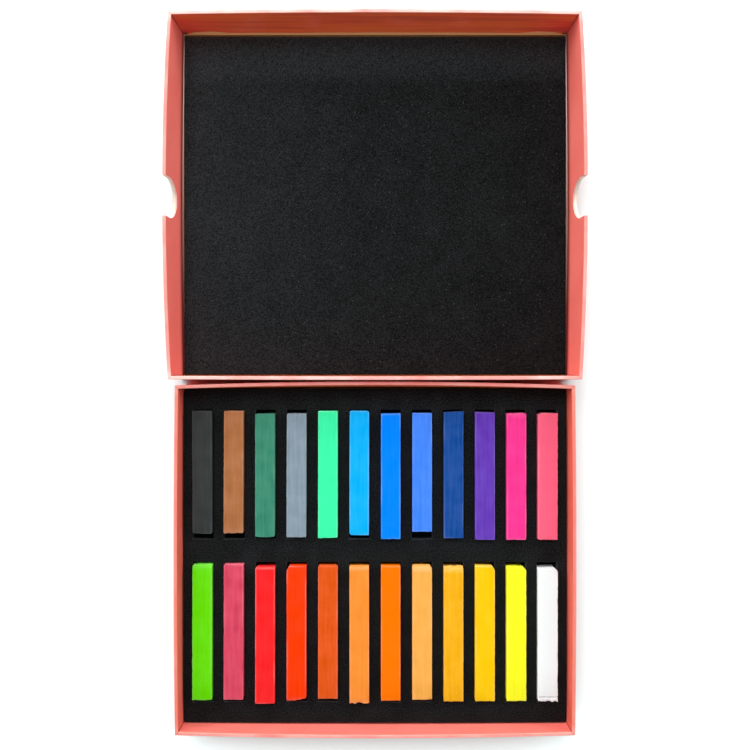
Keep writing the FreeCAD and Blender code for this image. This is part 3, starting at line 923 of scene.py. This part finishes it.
# the streaks and the powder are a little coarser than real ones, which would be too fine to show
STREAK_WIDTH = 1.5 * MM
STREAK_LENGTH = 22 * MM
POWDER = 0.35 * MM
POWDER_RELIEF = 0.08 * MM
CLOUDS_PER_MM = 0.12
STREAK_DEEP = 0.22
STREAK_PALE = 0.03
# the dust on rubbed edges is a pale grey mix of all the chalks, thinner on the dark ones
CHALK_DUST = 0.75
CHALK_HAZE = 0.42
# a broken face holds less of that dust than a rubbed edge
FRESH_BREAK = 0.45


def pressed_chalk(name, colour, streaks, node):
    """Pigment and chalk dust pressed dry: fully matt, in faint streaks along the stick from the
    mould, and powdery paler where it is rubbed or broken."""
    low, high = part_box(node)
    base = linear(colour)[:3]
    deep = [c * (1 - STREAK_DEEP * streaks) for c in base]
    pale = [c + (1 - c) * STREAK_PALE * streaks for c in base]
    haze = CHALK_HAZE * max(base) ** 0.5
    dust = [c + (CHALK_DUST - c) * haze for c in base]
    material, tree = empty_material("pastel_" + name)
    where = add_node(tree, "TexCoord").outputs["Object"]
    # the mould draws the streaks out along the stick
    drawn = add_node(tree, "Mapping", {
        "Vector": where, "Location": -(low + high) / 2,
        "Scale": (1 / STREAK_WIDTH, 1 / STREAK_LENGTH, 1 / STREAK_WIDTH),
    })
    streak = add_node(tree, "TexNoise", {"Vector": drawn, "Scale": 1.0})
    powder = add_node(tree, "TexNoise", {"Vector": where, "Scale": 1 / POWDER, "Detail": 3.0})
    cloud = add_node(tree, "TexNoise", {"Vector": where, "Scale": CLOUDS_PER_MM / MM})
    along = add_node(tree, "Math", {0: streak, 1: cloud}, operation="ADD")
    share = add_node(tree, "MapRange", {"Value": along, "From Min": 0.7, "From Max": 1.35})
    body = add_node(
        tree, "Mix", {"Factor": share, "A": (*deep, 1.0), "B": (*pale, 1.0)}, data_type="RGBA"
    )
    worn = add_node(tree, "Attribute", attribute_name="worn").outputs["Fac"]
    rubbed = add_node(tree, "Math", {0: worn, 1: powder}, operation="MULTIPLY")
    tone = add_node(tree, "Mix", {"Factor": rubbed, "A": body, "B": (*dust, 1.0)}, data_type="RGBA")
    relief = add_node(tree, "Bump", {"Strength": 0.35, "Distance": POWDER_RELIEF, "Height": powder})
    surface = add_node(
        tree, "BsdfPrincipled",
        {"Base Color": tone, "Roughness": 0.95, "Specular IOR Level": 0.02, "Normal": relief},
    )
    add_node(tree, "OutputMaterial", {"Surface": surface})
    return material


def cut_plane(damage, half):
    """A point and a normal of the plane that a piece of damage leaves, from the middle."""
    kind, side, end, first, second = damage
    if kind == "corner":
        place = Vector((side * half.x, end * (half.y - second), 0))
        return place, Vector((side * second, end * first, 0))
    if kind == "facet":
        return Vector((0, end * (half.y - first), half.z)), Vector((0, end * second, first))
    return Vector((-side * half.x, end * half.y, 0)), Vector((side * second, end * 2 * half.x, 0))


def damaged(point, half, seed, damages):
    """Where a point of a perfect stick is left by its damage, and how worn it is there."""
    moved = point.copy()
    worn = 0.0
    for damage in damages:
        kind, _, end, along, depth = damage
        from_end = half.y - point.y * end
        if kind in ("corner", "facet", "slant"):
            place, normal = cut_plane(damage, half)
            normal.normalize()
            chip = CHIP_DEPTH * noise.noise((point + seed) / CHIP_GRAIN)
            over = (moved - place).dot(normal) + chip
            if over > 0:
                moved -= normal * over
                worn = FRESH_BREAK
        elif kind == "rough" and from_end < ROUGH_REACH:
            reach = 1 - from_end / ROUGH_REACH
            bite = max(0.0, ROUGH_MEAN + noise.fractal((point + seed) / ROUGH_GRAIN, *FRACTAL)) * depth
            moved.y -= end * bite * reach
            moved.z -= ROUGH_DROP * bite * reach * (point.z > 0)
            worn = max(worn, FRESH_BREAK * reach)
        elif kind == "crack":
            wander = CRACK_WANDER * noise.noise((point + seed) / CRACK_WAVE)
            across = abs(point.y - end * (half.y - along) - wander) / CRACK_HALF
            if across < 1 and point.z > 0:
                moved.z -= depth * (1 - across)
                worn = max(worn, FRESH_BREAK)
    return moved, worn


def weather(point, half, seed, lean, damages):
    """Where a point of a perfect stick is on the real one, and how worn it is there. The mould and
    the drying leave the faces a little uneven, and the edges crumble."""
    moved, worn = damaged(point, half, seed, damages)
    from_faces = sorted((half.x - abs(point.x), half.y - abs(point.y), half.z - abs(point.z)))
    close = max(0.0, 1 - from_faces[1] / CRUMBLE_REACH)
    grit = max(0.0, noise.fractal((point + seed) / CRUMBLE_GRAIN, *FRACTAL))
    crumble = close * grit * CRUMBLE_DEPTH
    moved -= Vector([math.copysign(crumble, c) for c in point])
    moved += noise.noise_vector((point + seed) / WARP_WAVE) * WARP_DEPTH
    moved += noise.noise_vector((point + seed) / PRESS_GRAIN) * PRESS_DEPTH
    moved.x += lean * point.y / (2 * half.y)
    patch = max(RUB_MEAN + RUB_SPREAD * noise.noise((point + seed) / RUB_PATCH), RUB_LEAST)
    return moved, min(1.0, max(worn, close * min(patch, 1.0)))


for index, (name, (colour, streaks, lean, damages)) in enumerate(STICKS.items()):
    node = "stick_" + name
    low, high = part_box(node)
    centre = (low + high) / 2
    half = (high - low) / 2
    piece = new_block("pastel_stick_" + name, low, high)
    for axis, spacing in enumerate((STICK_INNER, STICK_STRIP, STICK_INNER)):
        first, last = low[axis] + STICK_EDGE, high[axis] - STICK_EDGE
        slice_at(axis, [first, *evenly(first, last, spacing), last])
    for kind, _, end, along, _ in damages:
        if kind == "crack":
            line = centre.y + end * (half.y - along)
            slice_at(1, [line - CRACK_CUTS, line, line + CRACK_CUTS])
    bpy.ops.object.mode_set(mode="OBJECT")
    apply_modifier(piece, "SUBSURF", levels=2)
    seed = Vector([index * step for step in SEED_STEPS])
    worn = piece.data.attributes.new("worn", "FLOAT", "POINT")
    for vertex in piece.data.vertices:
        place, amount = weather(vertex.co - centre, half, seed, lean * MM, damages)
        vertex.co = centre + Vector([min(max(p, -h), h) for p, h in zip(place, half)])
        worn.data[vertex.index].value = amount
    shade_smooth(piece, STICK_SMOOTH)
    piece.data.materials.append(pressed_chalk(name, colour, streaks, node))
    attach(piece, name)
    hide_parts(node)

# ---- Lid ----
# The lid is made like the tray and lies inside up. A thumb notch is punched through the middle
# of each long wall. The turned-in paper is cut short of the floor, and a thin foam pad lies in it.

LID_BOWS = {"side": 2.8 * MM, "near": 0.3 * MM, "far": 1.0 * MM}
LID_TURN_IN_END = 6.5 * MM
LID_CREASE = 5.0 * MM
# the lid's rim is painted paler, and only its far wall takes the painted shade
LID_RIM_PALE = 0.8
LID_PAINTED_SHADE = 0.0
NOTCH_RADIUS = 10.25 * MM
NOTCH_DEPTH = 16.0 * MM
# the punch: its facets, its length in widths of the lid, and how far above the rim it ends
PUNCH_FACETS = 96
PUNCH_LENGTH = 1.2
PUNCH_ABOVE = 5 * MM
# the paper's edge inside: how far the crease and the curled end stand off the long walls, how
# far the end drops, and how unevenly it is cut
CREASE_IN = 0.6 * MM
FOOT_CURL = 1.0 * MM
FOOT_DROP = 2.6 * MM
CUT_WAVE = 16 * MM
SIDE_WAVER = 0.15 * MM
NEAR_WAVER = 0.2 * MM
FAR_WAVER = 0.5 * MM
# at the far wall the cut rises in a lens beside each corner: its middle, half length and height
LENS_AT = 13 * MM
LENS_HALF = 9 * MM
LENS_RISE = 1.9 * MM
PAD_CONTRAST = 0.20
PAD_SPECKS = 0.5
PAD_DEEPER = 0.05
# painted light on the pad, most along the far wall, where its shadow falls, and towards the left
PAD_PAINTED_LIGHT = "#4B5357"
FAR_PAINTED_LIGHT = 0.38
FAR_PAINTED_LIGHT_REACH = 26 * MM
LEFT_PAINTED_LIGHT = 0.20
LEFT_PAINTED_LIGHT_REACH = 125 * MM
PAINTED_LIGHT_LEAST = 0.3
PAINTED_LIGHT_MOST = 1.7


def lid_end(side, half, at_crease):
    """The turned-in edge inside the lid: creased and curled out over the pad at the long walls,
    and at the far wall cut in a wavy line with a bare patch of board beside each corner."""
    waver = noise.noise(Vector((side.x, side.y, 0)) / CUT_WAVE)
    if abs(side.x) > half.x - NEAR_LEVEL:
        if at_crease:
            drop = LID_CREASE - LID_TURN_IN_END - CREASE_ABOVE_END
            return Vector((-math.copysign(CREASE_IN, side.x), 0, drop))
        at_corner = abs(side.y) > half.y - NEAR_LEVEL
        curl = CREASE_IN if at_corner else FOOT_CURL + SIDE_WAVER * waver
        return Vector((-math.copysign(curl, side.x), 0, -FOOT_DROP))
    if at_crease:
        return Vector()
    if side.y < 0:
        return Vector((0, 0, NEAR_WAVER * waver - FOOT_DROP))
    from_lens = (half.x - abs(side.x) - LENS_AT) / LENS_HALF
    lens = max(0.0, 1 - from_lens**2) * LENS_RISE
    return Vector((0, 0, lens + FAR_WAVER * waver))


def painted_light_on_pad(tree, where, grain, tone):
    """Painted light on the pad, a cool grey, most along the far wall where its shadow falls and towards
    the left, following the grain of the cut cells.
    """
    low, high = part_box("lid_pad")
    place = add_node(tree, "SeparateXYZ", {0: where}).outputs
    # painted light that lifts the far wall's shadow on the pad
    start = high.y - FAR_PAINTED_LIGHT_REACH
    by_far_wall = add_node(
        tree, "MapRange", {"Value": place["Y"], "From Min": start, "From Max": high.y, "To Max": FAR_PAINTED_LIGHT}
    )
    start = low.x + LEFT_PAINTED_LIGHT_REACH
    towards_left = add_node(tree, "MapRange", {"Value": place["X"], "From Min": start, "From Max": low.x})
    on_left = add_node(tree, "Math", {0: towards_left, 1: 2.0}, operation="POWER")
    film = add_node(tree, "Math", {0: on_left, 1: LEFT_PAINTED_LIGHT, 2: by_far_wall}, operation="MULTIPLY_ADD")
    follows_grain = add_node(tree, "MapRange", {
        "Value": grain, "From Min": 0.5 - PAD_CONTRAST, "From Max": 0.5 + PAD_CONTRAST,
        "To Min": PAINTED_LIGHT_LEAST, "To Max": PAINTED_LIGHT_MOST,
    })
    # the share of painted light, following the grain
    dust = add_node(tree, "Math", {0: film, 1: follows_grain}, operation="MULTIPLY")
    return add_node(tree, "Mix", {"Factor": dust, "A": tone, "B": linear(PAD_PAINTED_LIGHT)}, data_type="RGBA")


lid_paper = satin_paper(
    "satin_coral_paper_lid", "lid_wrap", LID_BOWS, LID_RIM_PALE, LID_PAINTED_SHADE, LID_CREASE
)
lid_wrap = folded_wrap("lid_paper_wrap", "lid_wrap", LID_BOWS, LID_TURN_IN_END, lid_end, lid_paper)

# one punch goes through both long walls, and the notches are open above its round foot
low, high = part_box("lid_wrap")
notch_y = (low.y + LID_BOWS["near"] + high.y - LID_BOWS["far"]) / 2
notch_z = high.z - NOTCH_DEPTH + NOTCH_RADIUS
bpy.ops.object.select_all(action="DESELECT")
bpy.ops.mesh.primitive_cylinder_add(
    vertices=PUNCH_FACETS,
    radius=NOTCH_RADIUS,
    depth=PUNCH_LENGTH * (high.x - low.x),
    location=(0, notch_y, notch_z),
    rotation=(0, math.radians(90), 0),
)
punch = bpy.context.object
punch.data.materials.append(paper_core)
bpy.ops.object.transform_apply()
for vertex in punch.data.vertices:
    if vertex.co.z > notch_z + AT_LEVEL:
        vertex.co.z = high.z + PUNCH_ABOVE
apply_modifier(
    lid_wrap, "BOOLEAN", operation="DIFFERENCE", object=punch, solver="EXACT", material_mode="TRANSFER"
)
bpy.data.objects.remove(punch)
finish_wrap(lid_wrap, "lid_wrap", "lid")

pad_foam = closed_cell_foam("black_closed_cell_foam", PAD_CONTRAST, PAD_SPECKS, PAD_DEEPER, painted_light_on_pad)
foam_sheet("lid_foam_pad", "lid_pad", "lid", pad_foam)
